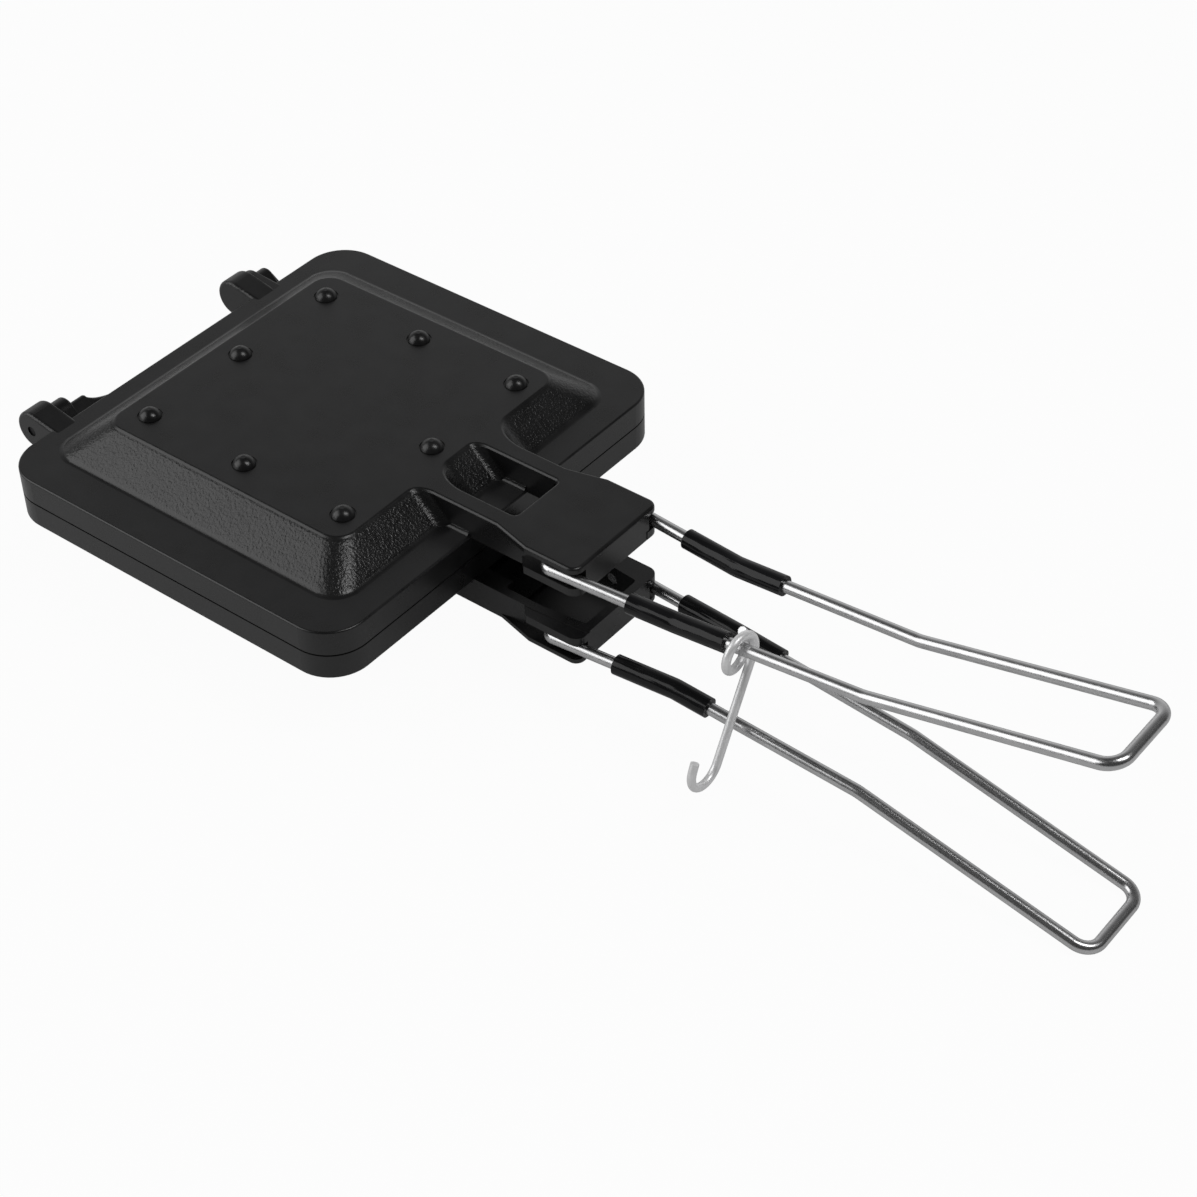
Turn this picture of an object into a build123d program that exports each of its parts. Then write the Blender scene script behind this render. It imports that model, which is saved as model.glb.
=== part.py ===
from build123d import *
from math import cos, radians, sin
import os

# A hinged sandwich iron. Two cast aluminium shells close on two slices of bread, each shell is
# carried by a bent wire handle, and a wire hook holds the two handles together.
# Millimetres, +Z up. The origin is the middle of the plates on the plane where they meet.
# +X runs out along the handles, and the hinge is at -X.

os.makedirs("parts", exist_ok=True)

# ---------------------------------------------------------------- driving dimensions
# plates
plate_x = 125.4
plate_y = 140.4
plate_corner_r = 12.3
flange_t = 8.0
flange_edge_r = 0.6
parting_gap = 0.25
parting_gap_depth = 1.2

# raised panel of each shell: foot on the flange, crown on top
crown_z = 16.8
crown_x = 88.0
crown_y = 91.0
crown_corner_r = 6.0
top_edge_r = 0.9
foot_front_x = 53.4
foot_back_x = -55.6
foot_y = 115.5
foot_corner_r = 7.5
foot_fillet_r = 2.5

# bread pocket, open at the parting plane
wall_t = 3.0
pocket_x = 115.0
pocket_y = 127.0
pocket_corner_r = 11.0
pocket_floor_x = 85.6
pocket_floor_y = 88.8
pocket_floor_corner_r = 5.0
pocket_edge_r = 2.0

# cast feet on the crown, each in a narrow ring groove
foot_pitch = 36.35
foot_grid_x = 0.35
dome_r = 3.25
dome_h = 2.4
dome_flat_r = 0.7
dome_root = 1.0
groove_w = 0.4
groove_depth = 0.3

# tongue that carries the handle: two ribs, a window between them and a hollow bracket
rib_outer_y = 15.0
rib_inner_y = 9.2
rib_root_x = 41.0
rib_bottom_z = 7.3
window_end_x = 74.0
window_corner_r = 1.5
rib_foot_r = 1.6
# radii where the front slope meets the rib walls: (wall y, way the wall faces, radius)
slope_corners = (
    (-rib_outer_y, -1, 3.4),
    (-rib_inner_y, 1, 7.5),
    (rib_inner_y, -1, 2.6),
    (rib_outer_y, 1, 8.5),
)
join_overlap = 0.6
# floor that closes the window of the lower tongue, set in from its outer face
tongue_floor_inset = 1.2
tongue_floor_t = 2.0
flare_start_x = 72.0
bracket_start_x = 84.0
bracket_end_x = 101.2
bracket_y = 18.0
bracket_corner_r = 3.0
bracket_top_t = 1.9
core_end_y = 13.6
core_wall_t = 2.6
hollow_start_x = 72.0
hollow_corner_r = 1.0
finger_start_x = 80.5
finger_end_x = 101.4
finger_bottom_z = 7.5
finger_top_z = 9.95
finger_root_y = 12.6
finger_ramp = 3.0
finger_tip_r = 3.4

# handle wires
wire_r = 1.75
pivot_x = 89.5
pivot_z = 12.0
pivot_clearance = 0.07
wire_end_y = 12.2
pivot_y = 16.8
eye_bend_r = 2.2
bend_r = 14.0
grip_end_r = 5.0
first_bend = (130.3, 13.7, 12.0)
second_bend = (187.0, 12.7, 17.2)
grip_corner = (255.6, 12.4, 33.4)
lower_handle_tilt = 1.0

# plastic sleeves over the first bend of each leg
sleeve_r = 2.85
sleeve_bore_clearance = 0.05
sleeve_edge_r = 0.5
sleeve_spans = {
    "upper_sleeve_near": (1, -1, 116.5, 146.5),
    "upper_sleeve_far": (1, 1, 113.0, 145.5),
    "lower_sleeve_near": (-1, -1, 112.0, 141.3),
    "lower_sleeve_far": (-1, 1, 112.0, 145.5),
}

# latch hook, bent from thinner wire and hung on the near leg of the upper handle
latch_x = 151.6
latch_wire_r = 1.2
latch_ring_r = 5.3
latch_ring_y = -13.8
latch_ring_z = 12.52
latch_lean = 28.5
latch_shank = 31.5
latch_hook_r = 5.9
latch_hook_turn = 174.0
latch_tip = 2.6
latch_lead_in = 20.0
latch_coil_turns = 1.15
latch_coil_pitch = 2.55

# hinge: tall ears on the upper shell, smaller knuckles on the lower shell, a pin through each pair
hinge_x = -71.3
hinge_z = 4.0
ear_r = 6.0
ear_edge_r = 1.2
ear_root_r = 1.5
lug_depth = 2.3
lug_root_r = 1.5
root_bulge = 1.5
root_rise = 1.0
parting_clearance = 0.1
knuckle_edge_r = 0.8
web_top = 0.6
hinge_gap = 0.3
pin_r = 1.5
pin_clearance = 0.07
ear_spans = {"near": (-51.0, -42.7), "far": (31.0, 39.3)}
ear_bores = {"near": (-51.0, -42.7), "far": (32.5, 41.9)}
boss_span = (38.0, 41.9)
boss_r = 4.8
knuckle_spans = {"near": (-42.4, -37.0), "far": (42.2, 47.0)}
knuckle_bores = {"near": (-42.4, -37.4), "far": (42.2, 47.0)}
knuckle_radii = {"near": 3.8, "far": 3.0}
web_spans = {"near": (-38.0, -30.0), "far": (44.5, 48.6)}
web_fade = ((-30.9, 1.0), (-27.3, 0.66), (-23.0, 0.5), (-18.5, 0.15))
web_fade_inset = 0.05
pin_spans = {"near": (-50.6, -37.4), "far": (32.6, 46.6)}


# ---------------------------------------------------------------- one casting, without its lugs
def at_height(shape, z):
    """True for an edge whose middle lies at height z."""
    return abs(shape.center().Z - z) < 0.01


crown_front_x = crown_x / 2
foot_mid_x = (foot_front_x + foot_back_x) / 2
foot_x = foot_front_x - foot_back_x
pocket_z = crown_z - wall_t
bracket_under_z = crown_z - bracket_top_t
hollow_y = rib_outer_y - core_wall_t
hollow_front_x = bracket_end_x - core_wall_t
hollow_front_y = core_end_y - core_wall_t

# a cast foot: the cap of a ball with a flat tip, standing on z = 0
dome_ball_r = (dome_r**2 + dome_h**2) / (2 * dome_h)
dome_ball_z = dome_h - dome_ball_r
dome_tip_z = dome_ball_z + (dome_ball_r**2 - dome_flat_r**2) ** 0.5
with BuildPart() as cast_foot:
    with BuildSketch(Plane.XZ):
        with BuildLine():
            tip = Line((0, dome_tip_z), (dome_flat_r, dome_tip_z))
            cap = RadiusArc(tip @ 1, (dome_r, 0), dome_ball_r)
            Polyline(cap @ 1, (dome_r, -dome_root), (0, -dome_root), tip @ 0)
        make_face()
    revolve(axis=Axis.Z)


def round_fill(origin, outward, along, radius):
    """Outline of the round fill of an inner corner, between a face that looks outward and a wall."""
    with BuildSketch(Plane(origin=origin, x_dir=outward, z_dir=along)) as outline:
        with BuildLine():
            hollow = RadiusArc((radius, 0), (0, radius), radius)
            Polyline(
                hollow @ 1, (-join_overlap, radius), (-join_overlap, -join_overlap),
                (radius, -join_overlap), hollow @ 0,
            )
        make_face()
    return outline.sketch


def slope_corner(wall_y, face, radius):
    """The fill along the front slope, where a rib wall leaves it."""
    middle = ((crown_front_x + foot_front_x) / 2, wall_y, (crown_z + flange_t) / 2)
    drop, run = crown_z - flange_t, foot_front_x - crown_front_x
    slope_length = (drop**2 + run**2) ** 0.5
    outward = (drop / slope_length, 0, run / slope_length)
    along = (-face * outward[2], 0, face * outward[0])
    with BuildPart() as fill:
        extrude(round_fill(middle, outward, along, radius), amount=slope_length, both=True)
        with BuildSketch(Plane.XY.offset(flange_t - join_overlap)):
            with Locations((middle[0], wall_y)):
                Rectangle(4 * slope_length, 4 * slope_length)
        extrude(amount=crown_z - flange_t + join_overlap, mode=Mode.INTERSECT)
    return fill.part


def rib_foot(wall_y, face):
    """The fill along the top of the flange, at the foot of a rib wall."""
    start_x, end_x = foot_front_x - foot_fillet_r, plate_x / 2 - flange_edge_r
    middle = ((start_x + end_x) / 2, wall_y, flange_t)
    with BuildPart() as fill:
        outline = round_fill(middle, (0, 0, 1), (-face, 0, 0), rib_foot_r)
        extrude(outline, amount=(end_x - start_x) / 2, both=True)
    return fill.part


with BuildPart() as casting:
    # flange, cut back a little round the rim, so a thin gap shows where the shells part
    with BuildSketch():
        RectangleRounded(plate_x, plate_y, plate_corner_r)
    extrude(amount=flange_t)
    fillet([e for e in casting.edges() if at_height(e, flange_t)], flange_edge_r)
    with BuildSketch():
        RectangleRounded(plate_x, plate_y, plate_corner_r)
        RectangleRounded(
            plate_x - 2 * parting_gap_depth, plate_y - 2 * parting_gap_depth,
            plate_corner_r - parting_gap_depth, mode=Mode.SUBTRACT,
        )
    extrude(amount=parting_gap, mode=Mode.SUBTRACT)

    # raised panel with sloping sides
    with BuildSketch(Plane.XY.offset(flange_t)):
        with Locations((foot_mid_x, 0)):
            RectangleRounded(foot_x, foot_y, foot_corner_r)
    with BuildSketch(Plane.XY.offset(crown_z)):
        RectangleRounded(crown_x, crown_y, crown_corner_r)
    loft()
    foot_line = [e for e in casting.edges() if at_height(e, flange_t)
                 and abs(e.center().X - foot_mid_x) < foot_x / 2 + foot_fillet_r
                 and abs(e.center().Y) < foot_y / 2 + foot_fillet_r]
    fillet(foot_line, foot_fillet_r)

    # ribs and the walls of the bracket, round the window
    with BuildSketch(Plane.XY.offset(rib_bottom_z)):
        with BuildLine():
            Polyline(
                (rib_root_x, -rib_outer_y), (bracket_start_x, -rib_outer_y), (bracket_end_x, -core_end_y),
                (bracket_end_x, core_end_y), (bracket_start_x, rib_outer_y), (rib_root_x, rib_outer_y),
                close=True,
            )
        make_face()
        with BuildLine():
            Polyline(
                (rib_root_x, -rib_inner_y), (rib_root_x, rib_inner_y), (window_end_x, rib_inner_y),
                (window_end_x, -rib_inner_y), close=True,
            )
        make_face(mode=Mode.SUBTRACT)
    extrude(amount=crown_z - rib_bottom_z)
    for wall_y, face, radius in slope_corners:
        add(slope_corner(wall_y, face, radius))
        add(rib_foot(wall_y, face))

    # top of the bracket: flares out beyond the walls to form the upper lips of the wire channels
    with BuildSketch(Plane.XY.offset(bracket_under_z)):
        with BuildLine():
            Polyline(
                (flare_start_x, -rib_outer_y), (bracket_start_x, -bracket_y), (bracket_end_x, -bracket_y),
                (bracket_end_x, bracket_y), (bracket_start_x, bracket_y), (flare_start_x, rib_outer_y),
                (window_end_x, rib_inner_y), (window_end_x, -rib_inner_y), close=True,
            )
        make_face()
        lip_corners = [v for v in vertices() if abs(v.X - bracket_end_x) < 0.01]
        fillet(lip_corners, bracket_corner_r)
    extrude(amount=bracket_top_t)

    window_front = [e for e in casting.edges().filter_by(Axis.Z)
                    if abs(e.center().X - window_end_x) < 0.01 and abs(e.center().Y) < rib_outer_y]
    fillet(window_front, window_corner_r)

    # fingers: lower lips of the wire channels, with rounded free ends
    with BuildSketch(Plane.XY.offset(finger_bottom_z)):
        for side in (1, -1):
            with BuildLine():
                Polyline(
                    (finger_start_x, side * finger_root_y), (finger_start_x, side * rib_outer_y),
                    (finger_start_x + finger_ramp, side * bracket_y), (finger_end_x, side * bracket_y),
                    (finger_end_x, side * finger_root_y), close=True,
                )
            make_face()
        finger_corners = [v for v in vertices() if abs(v.X - finger_end_x) < 0.01
                          and abs(abs(v.Y) - bracket_y) < 0.01]
        fillet(finger_corners, finger_tip_r)
    extrude(amount=finger_top_z - finger_bottom_z)

    # one soft edge round the crown, the ribs, the window and the bracket
    fillet([e for e in casting.edges() if at_height(e, crown_z)], top_edge_r)

    # feet: domes with a flat tip, each in a shallow ring groove
    foot_places = [(foot_grid_x + i * foot_pitch, j * foot_pitch)
                   for i in (-1, 0, 1) for j in (-1, 0, 1) if (i, j) != (0, 0)]
    with BuildSketch(Plane.XY.offset(crown_z)):
        with Locations(*foot_places):
            Circle(dome_r + groove_w)
            Circle(dome_r, mode=Mode.SUBTRACT)
    extrude(amount=-groove_depth, mode=Mode.SUBTRACT)
    with Locations(*[(x, y, crown_z) for x, y in foot_places]):
        add(cast_foot.part)

    # bread pocket
    with BuildSketch():
        RectangleRounded(pocket_x, pocket_y, pocket_corner_r)
    with BuildSketch(Plane.XY.offset(pocket_z)):
        RectangleRounded(pocket_floor_x, pocket_floor_y, pocket_floor_corner_r)
    loft(mode=Mode.SUBTRACT)
    fillet([e for e in casting.edges() if at_height(e, pocket_z)], pocket_edge_r)

    # hollow of the bracket, open towards the other shell and into the window
    with BuildSketch(Plane.XY.offset(bracket_under_z)):
        with BuildLine():
            Polyline(
                (hollow_start_x, -hollow_y), (bracket_start_x, -hollow_y),
                (hollow_front_x, -hollow_front_y), (hollow_front_x, hollow_front_y),
                (bracket_start_x, hollow_y), (hollow_start_x, hollow_y), close=True,
            )
        make_face()
        fillet(vertices(), hollow_corner_r)
    extrude(amount=-bracket_under_z, mode=Mode.SUBTRACT)

    # pivot holes for the bent-in ends of the wire
    with Locations(Location((pivot_x, 0, pivot_z), (90, 0, 0))):
        Cylinder(wire_r + pivot_clearance, 2 * bracket_y, mode=Mode.SUBTRACT)


# ---------------------------------------------------------------- shells with their hinge lugs
def finish(name, builder):
    """Label a finished piece and write it under its own name."""
    builder.part.label = name
    export_step(builder.part, f"parts/{name}.step")


def span_plane(span):
    """The upright plane (x across, z up) at the far end of a span, facing back along the span."""
    return Plane(origin=(0, span[1], 0), x_dir=(1, 0, 0), z_dir=(0, -1, 0))


def rounded_lug(span, centres, edge_r):
    """A lug whose side view is the hull of circles (x, z, radius), with rounded rims."""
    with BuildPart() as lug:
        with BuildSketch(span_plane(span)):
            for x, z, radius in centres:
                with Locations((x, z)):
                    Circle(radius)
            make_hull()
        extrude(amount=span[1] - span[0])
        fillet([e for e in lug.edges() if min(abs(e.center().Y - y) for y in span) < 0.01], edge_r)
    return lug.part


def hinge_rod(span, radius):
    """A round bar along a span of the hinge axis."""
    with BuildPart() as rod:
        with BuildSketch(span_plane(span)):
            with Locations((hinge_x, hinge_z)):
                Circle(radius)
        extrude(amount=span[1] - span[0])
    return rod.part


flange_back_x = -plate_x / 2
ear_circles = [
    (hinge_x, hinge_z, ear_r),
    (flange_back_x + lug_depth, flange_t - ear_root_r, ear_root_r),
    (flange_back_x + lug_depth, ear_root_r, ear_root_r),
]
lug_root_circles = [
    (flange_back_x - root_bulge, -lug_root_r, lug_root_r - parting_clearance),
    (flange_back_x, root_rise - flange_t + lug_root_r, lug_root_r),
]


def web_circles(reach):
    """Side view of a web that reaches that share of the way from the flange out to the hinge axis."""
    root_x, root_z, root_r = lug_root_circles[0]
    x = root_x + reach * (hinge_x - root_x)
    z = root_z + reach * (hinge_z + web_top - lug_root_r - root_z)
    return [(x, z, lug_root_r), *lug_root_circles]


with BuildPart() as upper_shell:
    for span in ear_spans.values():
        add(rounded_lug(span, ear_circles, ear_edge_r))
    add(rounded_lug(boss_span, [(hinge_x, hinge_z, boss_r), *ear_circles[1:]], knuckle_edge_r))
    # the ears stay clear of the lower flange
    with BuildSketch(Plane.XY.offset(parting_gap)):
        with Locations((flange_back_x - hinge_gap, 0)):
            Rectangle(2 * ear_r, plate_y, align=(Align.MIN, Align.CENTER))
    extrude(amount=-ear_r, mode=Mode.SUBTRACT)
    add(casting.part)
    for span in ear_bores.values():
        add(hinge_rod(span, pin_r + pin_clearance), mode=Mode.SUBTRACT)
finish("upper_shell", upper_shell)

with BuildPart() as lower_shell:
    mirror(casting.part, about=Plane.XY)
    # floor of the tongue
    with BuildSketch(Plane.XY.offset(tongue_floor_inset - crown_z)):
        with Locations(((crown_front_x + window_end_x) / 2, 0)):
            Rectangle(
                window_end_x - crown_front_x + 2 * join_overlap, 2 * (rib_inner_y + join_overlap),
            )
    extrude(amount=tongue_floor_t)
    for key, span in knuckle_spans.items():
        add(rounded_lug(span, [(hinge_x, hinge_z, knuckle_radii[key]), *lug_root_circles], knuckle_edge_r))
        add(rounded_lug(web_spans[key], web_circles(1), knuckle_edge_r))
        add(hinge_rod(knuckle_bores[key], pin_r), mode=Mode.SUBTRACT)
    # the near web runs out into the back of the flange
    for y, reach in web_fade:
        with BuildSketch(span_plane((y, y))):
            for x, z, radius in web_circles(reach):
                with Locations((x, z)):
                    Circle(radius - web_fade_inset)
            make_hull()
    loft()
finish("lower_shell", lower_shell)

for key, span in pin_spans.items():
    with BuildPart() as hinge_pin:
        add(hinge_rod(span, pin_r))
    finish(f"hinge_pin_{key}", hinge_pin)


# ---------------------------------------------------------------- handles
def tilted(point, half):
    """A point of the handle (x, y, z above the parting plane) on the upper (1) or lower (-1) shell."""
    tilt = radians(lower_handle_tilt) if half < 0 else 0.0
    dx, dz = point[0] - pivot_x, point[2] - pivot_z
    x = pivot_x + dx * cos(tilt) + dz * sin(tilt)
    z = pivot_z - dx * sin(tilt) + dz * cos(tilt)
    return (x, point[1], half * z)


def leg_points(half, side):
    """Corners of one leg, from the end inside the bracket to the corner of the grip."""
    corners = [
        (pivot_x, wire_end_y, pivot_z),
        (pivot_x, pivot_y, pivot_z),
        first_bend,
        second_bend,
        grip_corner,
    ]
    return [tilted((x, side * y, z), half) for x, y, z in corners]


def leg_station(half, side, x):
    """The point at station x on a leg that the sleeves cover (up to or past the first bend)."""
    points = leg_points(half, side)
    a, b = (points[1], points[2]) if x < points[2][0] else (points[2], points[3])
    t = (x - a[0]) / (b[0] - a[0])
    return tuple(p + t * (q - p) for p, q in zip(a, b))


for name, half in (("upper_handle_wire", 1), ("lower_handle_wire", -1)):
    with BuildPart() as handle_wire:
        with BuildLine() as wire_line:
            corners = leg_points(half, 1) + leg_points(half, -1)[::-1]
            leg_radii = [eye_bend_r, bend_r, bend_r, grip_end_r]
            FilletPolyline(*corners, radius=leg_radii + leg_radii[::-1])
        with BuildSketch(Plane(origin=wire_line.line @ 0, z_dir=wire_line.line % 0)):
            Circle(wire_r)
        sweep()
    finish(name, handle_wire)

for name, (half, side, start_x, end_x) in sleeve_spans.items():
    with BuildPart() as sleeve:
        with BuildLine() as sleeve_line:
            middle = leg_points(half, side)[2]
            ends = [leg_station(half, side, x) for x in (start_x, end_x)]
            FilletPolyline(ends[0], middle, ends[1], radius=bend_r)
        with BuildSketch(Plane(origin=sleeve_line.line @ 0, z_dir=sleeve_line.line % 0)):
            Circle(sleeve_r)
            Circle(wire_r + sleeve_bore_clearance, mode=Mode.SUBTRACT)
        sweep()
    finish(name, sleeve)


# ---------------------------------------------------------------- latch hook
def across(centre, radius, degrees):
    """A point of the hook, in the upright plane across the handles, by its angle from +Y to +Z."""
    angle = radians(degrees)
    return Vector(latch_x, centre.Y + radius * cos(angle), centre.Z + radius * sin(angle))


ring_centre = Vector(latch_x, latch_ring_y, latch_ring_z)
shank_top = across(ring_centre, latch_ring_r, -latch_lean)
shank_end = across(shank_top, latch_shank, -latch_lean - 90)
hook_centre = across(shank_end, latch_hook_r, 180 - latch_lean)
hook_end_angle = -latch_lean - latch_hook_turn

with BuildPart() as latch_hook:
    # coil that hangs on the handle
    coil = Helix(latch_coil_pitch, latch_coil_pitch * latch_coil_turns, latch_ring_r,
                 center=ring_centre, direction=(-1, 0, 0), lefthand=True, mode=Mode.PRIVATE)
    first_spoke = coil @ 0 - ring_centre
    first_angle = Vector(0, 1, 0).get_signed_angle(first_spoke, Vector(1, 0, 0))
    coil = coil.rotate(Axis(ring_centre, (1, 0, 0)), latch_lead_in - latch_lean - first_angle)
    with BuildSketch(Plane(origin=coil @ 0, z_dir=coil % 0)):
        Circle(latch_wire_r)
    sweep(path=coil, is_frenet=True)

    # lead-in of the coil, shank and open hook
    with BuildLine() as hook_line:
        ThreePointArc(
            across(ring_centre, latch_ring_r, latch_lead_in - latch_lean),
            across(ring_centre, latch_ring_r, latch_lead_in / 2 - latch_lean),
            shank_top,
        )
        Line(shank_top, shank_end)
        bend = ThreePointArc(
            shank_end,
            across(hook_centre, latch_hook_r, -latch_lean - latch_hook_turn / 2),
            across(hook_centre, latch_hook_r, hook_end_angle),
        )
        Line(bend @ 1, across(bend @ 1, latch_tip, hook_end_angle - 90))
    with BuildSketch(Plane(origin=coil @ 0, z_dir=hook_line.wires()[0] % 0)):
        Circle(latch_wire_r)
    sweep(path=hook_line.wires()[0])
    with Locations(coil @ 0):
        Sphere(latch_wire_r)
finish("latch_hook", latch_hook)
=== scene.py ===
# %% [markdown]
# # A hinged sandwich iron with wire handles
# This lesson dresses a camp sandwich iron: two black cast shells, two bent wire handles with
# plastic sleeves, and a wire hook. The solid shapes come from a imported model, which is loaded as a
# fixed frame. They are complete, so the lesson adds a camera, finishes, a floor and light to them.

import math

import bmesh
import bpy
from mathutils import Matrix, Vector


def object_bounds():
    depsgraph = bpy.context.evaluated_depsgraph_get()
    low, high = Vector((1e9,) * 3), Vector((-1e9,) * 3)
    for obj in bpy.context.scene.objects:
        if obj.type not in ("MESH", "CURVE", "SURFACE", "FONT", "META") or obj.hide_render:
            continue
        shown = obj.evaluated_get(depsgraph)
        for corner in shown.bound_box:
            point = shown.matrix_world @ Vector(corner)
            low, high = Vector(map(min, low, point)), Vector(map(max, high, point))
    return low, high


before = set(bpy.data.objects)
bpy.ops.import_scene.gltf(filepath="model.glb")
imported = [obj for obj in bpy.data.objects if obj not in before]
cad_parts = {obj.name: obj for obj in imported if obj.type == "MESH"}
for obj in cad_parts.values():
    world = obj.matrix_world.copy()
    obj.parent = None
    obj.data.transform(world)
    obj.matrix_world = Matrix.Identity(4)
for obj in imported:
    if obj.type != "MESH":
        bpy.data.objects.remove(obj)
cad_low, cad_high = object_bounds()
print("solid model, in metres:", [round(v, 4) for v in cad_high - cad_low])

# %% [markdown]
# ## The camera
# A product picture is taken from a little above, with a long lens, so that the far edge of the
# iron is nearly as wide as the near one. The camera could be turned with angles in its rotation
# fields, but its three axes are clearer: it looks back along the line from the target, its side
# axis is level, and a small roll tips both.

# %% The camera
FRAME_PIXELS = 1197
FOCAL_PIXELS = 2643.27
SENSOR_MM = 36.0
NEAREST_SEEN = 0.01
CAMERA_AZIMUTH = math.radians(38.977)
CAMERA_ELEVATION = math.radians(41.075)
CAMERA_ROLL = math.radians(-1.399)
CAMERA_DISTANCE = 0.70216
CAMERA_TARGET = Vector((0.10021, -0.007454, 0.0))


def camera_axes():
    """Side, top and back axes of the camera, as the columns of a rotation."""
    back = Vector((
        math.sin(CAMERA_AZIMUTH) * math.cos(CAMERA_ELEVATION),
        -math.cos(CAMERA_AZIMUTH) * math.cos(CAMERA_ELEVATION),
        math.sin(CAMERA_ELEVATION),
    ))
    level = (-back).cross(Vector((0, 0, 1))).normalized()
    upright = level.cross(-back)
    side = math.cos(CAMERA_ROLL) * level + math.sin(CAMERA_ROLL) * upright
    top = math.cos(CAMERA_ROLL) * upright - math.sin(CAMERA_ROLL) * level
    return Matrix((side, top, back)).transposed()


def make_camera():
    """A long lens that looks at the middle of the iron."""
    data = bpy.data.cameras.new("camera")
    data.sensor_width = SENSOR_MM
    data.lens = FOCAL_PIXELS / FRAME_PIXELS * SENSOR_MM
    data.clip_start = NEAREST_SEEN
    camera = bpy.data.objects.new("camera", data)
    bpy.context.scene.collection.objects.link(camera)
    axes = camera_axes()
    place = CAMERA_TARGET + axes.col[2] * CAMERA_DISTANCE
    camera.matrix_world = Matrix.Translation(place) @ axes.to_4x4()
    bpy.context.scene.camera = camera
    return camera


camera = make_camera()
print("lens", round(camera.data.lens, 2), "mm")

# %% [markdown]
# ## Materials as small graphs
# Every finish is a graph of nodes round one Principled shader. Small helpers keep those graphs
# short: one adds a node and fills in its sockets, one starts a material, and the rest give grain,
# shades, roughness and bump. Textures read object coordinates, which are metres fixed to the
# piece, so a grain has a real size and it turns with the piece when a joint moves.

# %% Helpers for materials
MM = 0.001
NOISE_LOW, NOISE_HIGH = 0.3, 0.7


def node(material, kind, **settings):
    """Add a node. Each setting is an attribute or an input; a socket is linked to its input."""
    made = material.node_tree.nodes.new(kind)
    for name, value in settings.items():
        if hasattr(made, name) and name not in made.inputs:
            setattr(made, name, value)
            continue
        key = name.replace("_", " ")
        socket = next(s for s in made.inputs if s.name.lower() == key.lower() and s.enabled)
        if isinstance(value, bpy.types.NodeSocket):
            link(material, value, socket)
        else:
            socket.default_value = value
    return made


def link(material, source, target):
    """Join two sockets."""
    material.node_tree.links.new(source, target)


def start_material(name):
    """A material with an output, a Principled shader and object coordinates."""
    material = bpy.data.materials.new(name)
    material.use_nodes = True
    material.node_tree.nodes.clear()
    shader = node(material, "ShaderNodeBsdfPrincipled")
    output = node(material, "ShaderNodeOutputMaterial")
    link(material, shader.outputs["BSDF"], output.inputs["Surface"])
    place = node(material, "ShaderNodeTexCoord")
    return material, shader, place


def grain(material, place, size, detail=2.0, coarseness=0.5, stretch=(1, 1, 1)):
    """Soft noise whose lumps are about size metres across, before any stretch along an axis."""
    scaled = node(material, "ShaderNodeMapping", Vector=place.outputs["Object"])
    scaled.inputs["Scale"].default_value = [1 / (size * s) for s in stretch]
    noise = node(
        material, "ShaderNodeTexNoise", Vector=scaled.outputs["Vector"],
        Scale=1.0, Detail=detail, Roughness=coarseness,
    )
    return noise.outputs["Fac"]


def between(material, value, low, high, to_low, to_high):
    """Map a value from one range to another, clamped at both ends."""
    mapped = node(material, "ShaderNodeMapRange", Value=value)
    ends = {"From Min": low, "From Max": high, "To Min": to_low, "To Max": to_high}
    for name, number in ends.items():
        mapped.inputs[name].default_value = number
    return mapped.outputs["Result"]


def shades(material, noise, dark, light):
    """A colour that goes from dark to light with a noise."""
    ramp = node(material, "ShaderNodeValToRGB", Fac=noise)
    ramp.color_ramp.elements[0].position = NOISE_LOW
    ramp.color_ramp.elements[0].color = (*dark, 1)
    ramp.color_ramp.elements[1].position = NOISE_HIGH
    ramp.color_ramp.elements[1].color = (*light, 1)
    return ramp.outputs["Color"]


def scaled_colour(colour, factor):
    """A colour made lighter or darker."""
    return tuple(c * factor for c in colour)


def roughen(material, shader, noise, smooth, rough):
    """Let the roughness of a finish wander between two values with a noise."""
    wander = between(material, noise, NOISE_LOW, NOISE_HIGH, smooth, rough)
    link(material, wander, shader.inputs["Roughness"])


def bump(material, shader, *layers):
    """Stack bump layers (height socket, depth in metres) onto the shader's normal."""
    normal = None
    for height, depth in layers:
        made = node(material, "ShaderNodeBump", Height=height, Distance=depth, Strength=1.0)
        if normal is not None:
            link(material, normal, made.inputs["Normal"])
        normal = made.outputs["Normal"]
    link(material, normal, shader.inputs["Normal"])


print("helpers ready")

# %% [markdown]
# ## The black castings
# The shells are die cast aluminium under a thin matte black coat. The flat crown is smooth. The
# sloping sides keep the open grain of the mould, so they catch more light in specks. The same
# graph does both: the normal in object space tells a slope from a flat, and it mixes the grain in.

# %% Coat of the castings
SLOPE_GRAIN = 0.85 * MM
SLOPE_COARSENESS = 0.55
SLOPE_DEPTH = 0.20 * MM
SLOPE_BAND = (8.2 * MM, 16.3 * MM)
BAND_FADE_LOW = 0.8 * MM
BAND_FADE_HIGH = 0.4 * MM
UPRIGHT_FACING = (0.15, 0.40)
FLAT_FACING = (0.88, 0.97)
CROWN_GRAIN = 0.30 * MM
CROWN_DEPTH = 0.015 * MM
COAT_CLOUD = 9 * MM
COAT_DARK = (0.0050, 0.0050, 0.0052)
COAT_LIGHT = (0.0090, 0.0090, 0.0093)
COAT_ROUGHNESS = (0.26, 0.32)


def absolute(material, socket):
    """The size of a number without its sign."""
    made = node(material, "ShaderNodeMath", operation="ABSOLUTE")
    link(material, socket, made.inputs[0])
    return made.outputs[0]


def product(material, first, second):
    """Two sockets multiplied."""
    made = node(material, "ShaderNodeMath", operation="MULTIPLY")
    link(material, first, made.inputs[0])
    link(material, second, made.inputs[1])
    return made.outputs[0]


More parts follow.
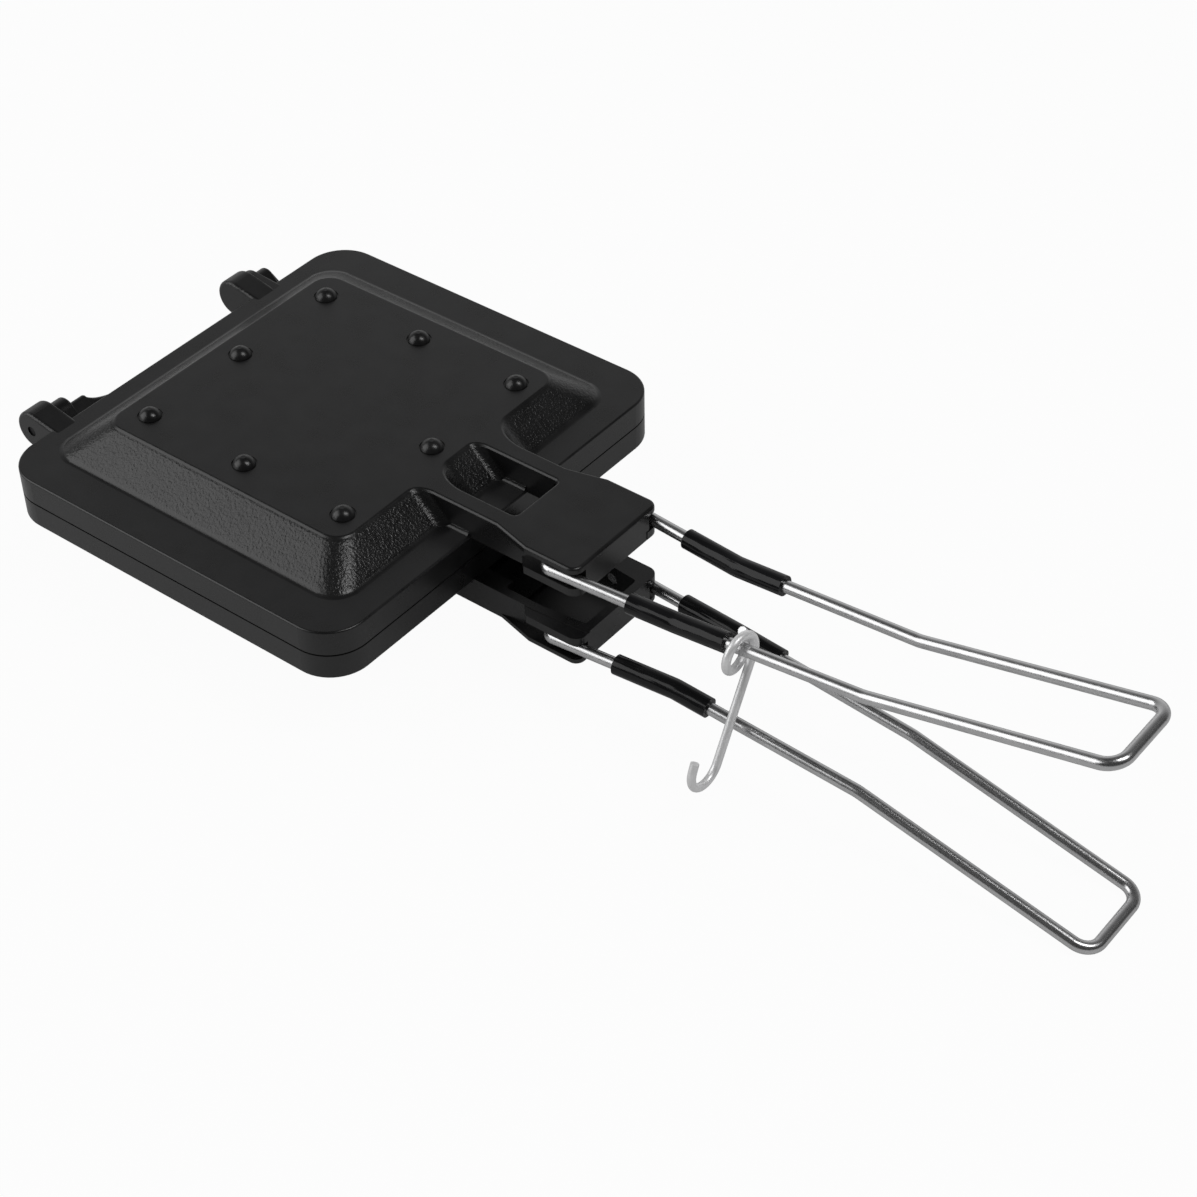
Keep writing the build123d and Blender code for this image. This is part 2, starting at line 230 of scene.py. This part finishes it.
def slope_share(material, place):
    """1 on the sloping sides of the raised panel, 0 on flat and upright faces, flange and feet."""
    normal = node(material, "ShaderNodeSeparateXYZ", Vector=place.outputs["Normal"])
    point = node(material, "ShaderNodeSeparateXYZ", Vector=place.outputs["Object"])
    facing_up = absolute(material, normal.outputs["Z"])
    tilted = product(
        material,
        between(material, facing_up, *UPRIGHT_FACING, 0.0, 1.0),
        between(material, facing_up, *FLAT_FACING, 1.0, 0.0),
    )
    height = absolute(material, point.outputs["Z"])
    low, high = SLOPE_BAND
    above = between(material, height, low, low + BAND_FADE_LOW, 0.0, 1.0)
    below = between(material, height, high - BAND_FADE_HIGH, high, 1.0, 0.0)
    return product(material, tilted, product(material, above, below))


def casting_coat(name):
    """Matte black coat over cast grain."""
    material, shader, place = start_material(name)
    mould = grain(material, place, SLOPE_GRAIN, coarseness=SLOPE_COARSENESS)
    fine = grain(material, place, CROWN_GRAIN)
    cloud = grain(material, place, COAT_CLOUD, detail=3.0)
    link(material, shades(material, cloud, COAT_DARK, COAT_LIGHT), shader.inputs["Base Color"])
    roughen(material, shader, cloud, *COAT_ROUGHNESS)
    rough_part = product(material, mould, slope_share(material, place))
    bump(material, shader, (fine, CROWN_DEPTH), (rough_part, SLOPE_DEPTH))
    return material


upper_coat = casting_coat("black_coat_upper")
lower_coat = casting_coat("black_coat_lower")
print("coats:", upper_coat.name, lower_coat.name)

# %% [markdown]
# ## Bright wire
# The handles and the hook are drawn stainless wire. Drawing leaves very fine lines along the wire,
# which spread a reflection across it. A metal shader with a low roughness does most of it, and a
# noise that is stretched along the handles gives the lines. The hook is a rougher metal that
# scatters part of the light, and its colour is painted paler than the handles' as painted light.

# %% Drawn wire
WIRE_COLOUR = (0.62, 0.62, 0.625)
WIRE_ROUGHNESS = (0.22, 0.31)
# Painted light: the hook's colour is paler than the handle wire's, to stand in for the brighter
# light on it.
HOOK_PAINTED_PALER_COLOUR = (0.90, 0.90, 0.905)
HOOK_METAL_SHARE = 0.6
HOOK_ROUGHNESS = (0.38, 0.47)
WIRE_DARKER, WIRE_LIGHTER = 0.92, 1.06
WIRE_CLOUD = 6 * MM
LINE_WIDTH = 0.12 * MM
LINE_DEPTH = 0.001 * MM
LINES_ALONG_HANDLE = (40, 1, 1)
LINES_ALONG_HOOK = (1, 1, 20)


def drawn_wire(name, colour, metal_share, roughness, stretch):
    """Bright metal with fine lines along the stretched axis."""
    material, shader, place = start_material(name)
    lines = grain(material, place, LINE_WIDTH, stretch=stretch)
    cloud = grain(material, place, WIRE_CLOUD)
    shader.inputs["Metallic"].default_value = metal_share
    dark = scaled_colour(colour, WIRE_DARKER)
    light = scaled_colour(colour, WIRE_LIGHTER)
    link(material, shades(material, cloud, dark, light), shader.inputs["Base Color"])
    roughen(material, shader, lines, *roughness)
    bump(material, shader, (lines, LINE_DEPTH))
    return material


handle_metal = drawn_wire("bright_wire", WIRE_COLOUR, 1.0, WIRE_ROUGHNESS, LINES_ALONG_HANDLE)
# The hook wire's paler colour is painted light.
hook_metal_painted_paler = drawn_wire(
    "hook_wire_painted_paler", HOOK_PAINTED_PALER_COLOUR, HOOK_METAL_SHARE, HOOK_ROUGHNESS, LINES_ALONG_HOOK,
)
print("metals:", handle_metal.name, hook_metal_painted_paler.name)

# %% [markdown]
# ## Blackened pins
# The two hinge pins are steel, but they were coated together with the castings, so their ends are
# as dark as the ears round them. They are a dark metal with the fine lines of a turned end.

# %% Hinge pins
PIN_DARK = (0.020, 0.020, 0.021)
PIN_LIGHT = (0.045, 0.045, 0.046)
PIN_ROUGHNESS = (0.38, 0.50)
PIN_WEAR = 0.5 * MM
PIN_LINE_WIDTH = 0.15 * MM
PIN_LINE_DEPTH = 0.01 * MM
LINES_ALONG_PIN = (1, 30, 1)


def blackened_pin(name):
    """Dark metal, a little worn."""
    material, shader, place = start_material(name)
    wear = grain(material, place, PIN_WEAR, detail=3.0)
    lines = grain(material, place, PIN_LINE_WIDTH, stretch=LINES_ALONG_PIN)
    shader.inputs["Metallic"].default_value = 1.0
    link(material, shades(material, wear, PIN_DARK, PIN_LIGHT), shader.inputs["Base Color"])
    roughen(material, shader, wear, *PIN_ROUGHNESS)
    bump(material, shader, (lines, PIN_LINE_DEPTH))
    return material


pin_black = blackened_pin("pin_black")
print("pins:", pin_black.name)

# %% [markdown]
# ## Black sleeves
# Each leg has a sleeve of glossy black plastic that keeps the heat from the hand. The plastic
# is pulled over the wire, so its skin has long shallow creases that split the light line on it.

# %% Sleeve plastic
SLEEVE_COLOUR = (0.006, 0.006, 0.0065)
SLEEVE_LIGHTER = 1.5
SLEEVE_GLOSS = 0.25
SLEEVE_ROUGHNESS = (0.09, 0.15)
CREASE_WIDTH = 1.1 * MM
CREASE_DEPTH = 0.12 * MM
CREASES_ALONG_SLEEVE = (10, 1, 1)
SKIN_GRAIN = 0.35 * MM
SKIN_DEPTH = 0.003 * MM


def sleeve_plastic(name):
    """Glossy black plastic with shallow creases along it."""
    material, shader, place = start_material(name)
    creases = grain(material, place, CREASE_WIDTH, detail=1.0, stretch=CREASES_ALONG_SLEEVE)
    fine = grain(material, place, SKIN_GRAIN)
    light = scaled_colour(SLEEVE_COLOUR, SLEEVE_LIGHTER)
    link(material, shades(material, creases, SLEEVE_COLOUR, light), shader.inputs["Base Color"])
    roughen(material, shader, fine, *SLEEVE_ROUGHNESS)
    shader.inputs["Specular IOR Level"].default_value = SLEEVE_GLOSS
    bump(material, shader, (creases, CREASE_DEPTH), (fine, SKIN_DEPTH))
    return material


sleeve_black = sleeve_plastic("sleeve_plastic")
print("plastic:", sleeve_black.name)

# %% [markdown]
# ## Dress the solids
# The shapes of the solids are right as they are, so they stay and take their finish by name.

# %% Give each solid its finish
FINISHES = {
    "upper_shell": upper_coat,
    "lower_shell": lower_coat,
    "upper_handle_wire": handle_metal,
    "lower_handle_wire": handle_metal,
    "latch_hook": hook_metal_painted_paler,
    "hinge_pin_near": pin_black,
    "hinge_pin_far": pin_black,
    "upper_sleeve_near": sleeve_black,
    "upper_sleeve_far": sleeve_black,
    "lower_sleeve_near": sleeve_black,
    "lower_sleeve_far": sleeve_black,
}


def dress(name, material):
    """Put one finish on every slot of a solid."""
    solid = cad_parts[name]
    if not solid.material_slots:
        solid.data.materials.append(material)
    for slot in solid.material_slots:
        slot.material = material


for name, material in FINISHES.items():
    dress(name, material)
print(len(FINISHES), "solids dressed")

# %% [markdown]
# ## Floor and backdrop
# The iron lies on a plain pale floor with nothing behind it. The floor keeps the soft shadow that
# the iron throws. A floor that is lit until it is white would also light the underside of the
# iron, so its paint is a plain grey and it is white by a share of glow that only the camera and,
# to a smaller part, reflections can see.

# %% Floor and backdrop
FLOOR_RADIUS = 4.0
FLOOR_COLOUR = (0.50, 0.50, 0.50)
FLOOR_WHITE_SEEN = 0.96
FLOOR_WHITE_REFLECTED = 0.09
FLOOR_CORNERS = 96


def combine(tree, operation, first, second):
    """One step of arithmetic between sockets or numbers."""
    step = tree.nodes.new("ShaderNodeMath")
    step.operation = operation
    step.use_clamp = True
    for value, socket in ((first, step.inputs[0]), (second, step.inputs[1])):
        if isinstance(value, bpy.types.NodeSocket):
            tree.links.new(value, socket)
        else:
            socket.default_value = value
    return step.outputs[0]


def seen_share(tree, seen, reflected):
    """A share for what the camera sees, one for reflections and glass, and 0 for other light."""
    path = tree.nodes.new("ShaderNodeLightPath").outputs
    mirrored = combine(tree, "ADD", path["Is Glossy Ray"], path["Is Transmission Ray"])
    return combine(
        tree, "ADD",
        combine(tree, "MULTIPLY", path["Is Camera Ray"], seen),
        combine(tree, "MULTIPLY", mirrored, reflected),
    )


def mixed(tree, share, first, second):
    """The first shader, with a share of the second."""
    mix = tree.nodes.new("ShaderNodeMixShader")
    tree.links.new(share, mix.inputs["Fac"])
    tree.links.new(first, mix.inputs[1])
    tree.links.new(second, mix.inputs[2])
    return mix.outputs[0]


def floor_material():
    """A grey matte floor that is nearly white to the camera."""
    material = bpy.data.materials.new("studio_floor")
    material.use_nodes = True
    tree = material.node_tree
    tree.nodes.clear()
    paint = tree.nodes.new("ShaderNodeBsdfDiffuse")
    paint.inputs["Color"].default_value = (*FLOOR_COLOUR, 1)
    glow = tree.nodes.new("ShaderNodeEmission")
    share = seen_share(tree, FLOOR_WHITE_SEEN, FLOOR_WHITE_REFLECTED)
    output = tree.nodes.new("ShaderNodeOutputMaterial")
    tree.links.new(mixed(tree, share, paint.outputs[0], glow.outputs[0]), output.inputs["Surface"])
    return material


def make_floor():
    """A wide round floor under the lowest point of the iron."""
    shape = bmesh.new()
    bmesh.ops.create_circle(shape, cap_ends=True, segments=FLOOR_CORNERS, radius=FLOOR_RADIUS)
    mesh = bpy.data.meshes.new("floor")
    shape.to_mesh(mesh)
    shape.free()
    floor = bpy.data.objects.new("floor", mesh)
    floor.location = (0, 0, cad_low.z)
    mesh.materials.append(floor_material())
    bpy.context.scene.collection.objects.link(floor)
    return floor


floor = make_floor()
print("floor at", round(floor.location.z, 4))

# %% [markdown]
# ## Light
# Black and bright metal show the room more than their own colour. A big soft box stands at the
# left and makes the long light band on each wire. A strip lamp hangs over the handles and gives
# the corners and the feet their sparks. The room itself adds a little from all round. In
# reflections it is pale where the backdrop stands and dark on the side of the camera, as a real
# studio is. The camera sees the room as white as it sees the floor, so no horizon shows.

# %% Lamps and room
ROOM_LIGHT = 0.36
ROOM_WHITE_SEEN = 0.975
BACKDROP_WAY = (-0.55, 0.68, -0.48)
BACKDROP_EDGES = (-0.10, 1.00)
ROOM_DARK = 0.04
ROOM_PALE = 0.75
LAMPS = {
    "left_box": {
        "way": (-0.66, -0.58, 0.48), "distance": 1.30, "long_way": (0, 0, 1),
        "sizes": (1.15, 1.15), "watts": 8.0,
    },
    "top_strip": {
        "way": (0.50, 0.08, 0.86), "distance": 1.20, "long_way": (0.64, 0.42, -0.34),
        "sizes": (0.64, 0.30), "watts": 4.6,
    },
}


def soft_box(name, way, distance, long_way, sizes, watts):
    """A flat lamp that faces the iron from one way, with its long side turned along another."""
    data = bpy.data.lights.new(name, "AREA")
    data.shape = "RECTANGLE"
    data.size, data.size_y = sizes
    data.energy = watts
    lamp = bpy.data.objects.new(name, data)
    back = Vector(way).normalized()
    short = back.cross(Vector(long_way)).normalized()
    turn = Matrix((short.cross(back), short, back)).transposed()
    lamp.matrix_world = Matrix.Translation(CAMERA_TARGET + distance * back) @ turn.to_4x4()
    bpy.context.scene.collection.objects.link(lamp)
    return lamp


def backdrop_strength(tree):
    """How bright the room is in reflections: pale towards the backdrop, dark away from it."""
    way = tree.nodes.new("ShaderNodeTexCoord").outputs["Generated"]
    facing = tree.nodes.new("ShaderNodeVectorMath")
    facing.operation = "DOT_PRODUCT"
    tree.links.new(way, facing.inputs[0])
    facing.inputs[1].default_value = BACKDROP_WAY
    fade = tree.nodes.new("ShaderNodeMapRange")
    fade.interpolation_type = "SMOOTHSTEP"
    tree.links.new(facing.outputs["Value"], fade.inputs["Value"])
    fade.inputs["From Min"].default_value, fade.inputs["From Max"].default_value = BACKDROP_EDGES
    fade.inputs["To Min"].default_value = ROOM_DARK
    fade.inputs["To Max"].default_value = ROOM_PALE
    return fade.outputs["Result"]


def make_room():
    """Even light from all round, a backdrop in reflections, and white for the camera."""
    world = bpy.data.worlds.new("room")
    world.use_nodes = True
    tree = world.node_tree
    tree.nodes.clear()
    light, backdrop, white = (tree.nodes.new("ShaderNodeBackground") for _ in range(3))
    for shader in (light, backdrop, white):
        shader.inputs["Color"].default_value = (1, 1, 1, 1)
    light.inputs["Strength"].default_value = ROOM_LIGHT
    white.inputs["Strength"].default_value = ROOM_WHITE_SEEN
    tree.links.new(backdrop_strength(tree), backdrop.inputs["Strength"])
    share = seen_share(tree, 0.0, 1.0)
    lit = mixed(tree, share, light.outputs[0], backdrop.outputs[0])
    share = seen_share(tree, 1.0, 0.0)
    output = tree.nodes.new("ShaderNodeOutputWorld")
    tree.links.new(mixed(tree, share, lit, white.outputs[0]), output.inputs["Surface"])
    bpy.context.scene.world = world


for name, lamp in LAMPS.items():
    soft_box(name, **lamp)
make_room()
bpy.context.scene.view_settings.view_transform = "Standard"
print(len(LAMPS), "lamps")
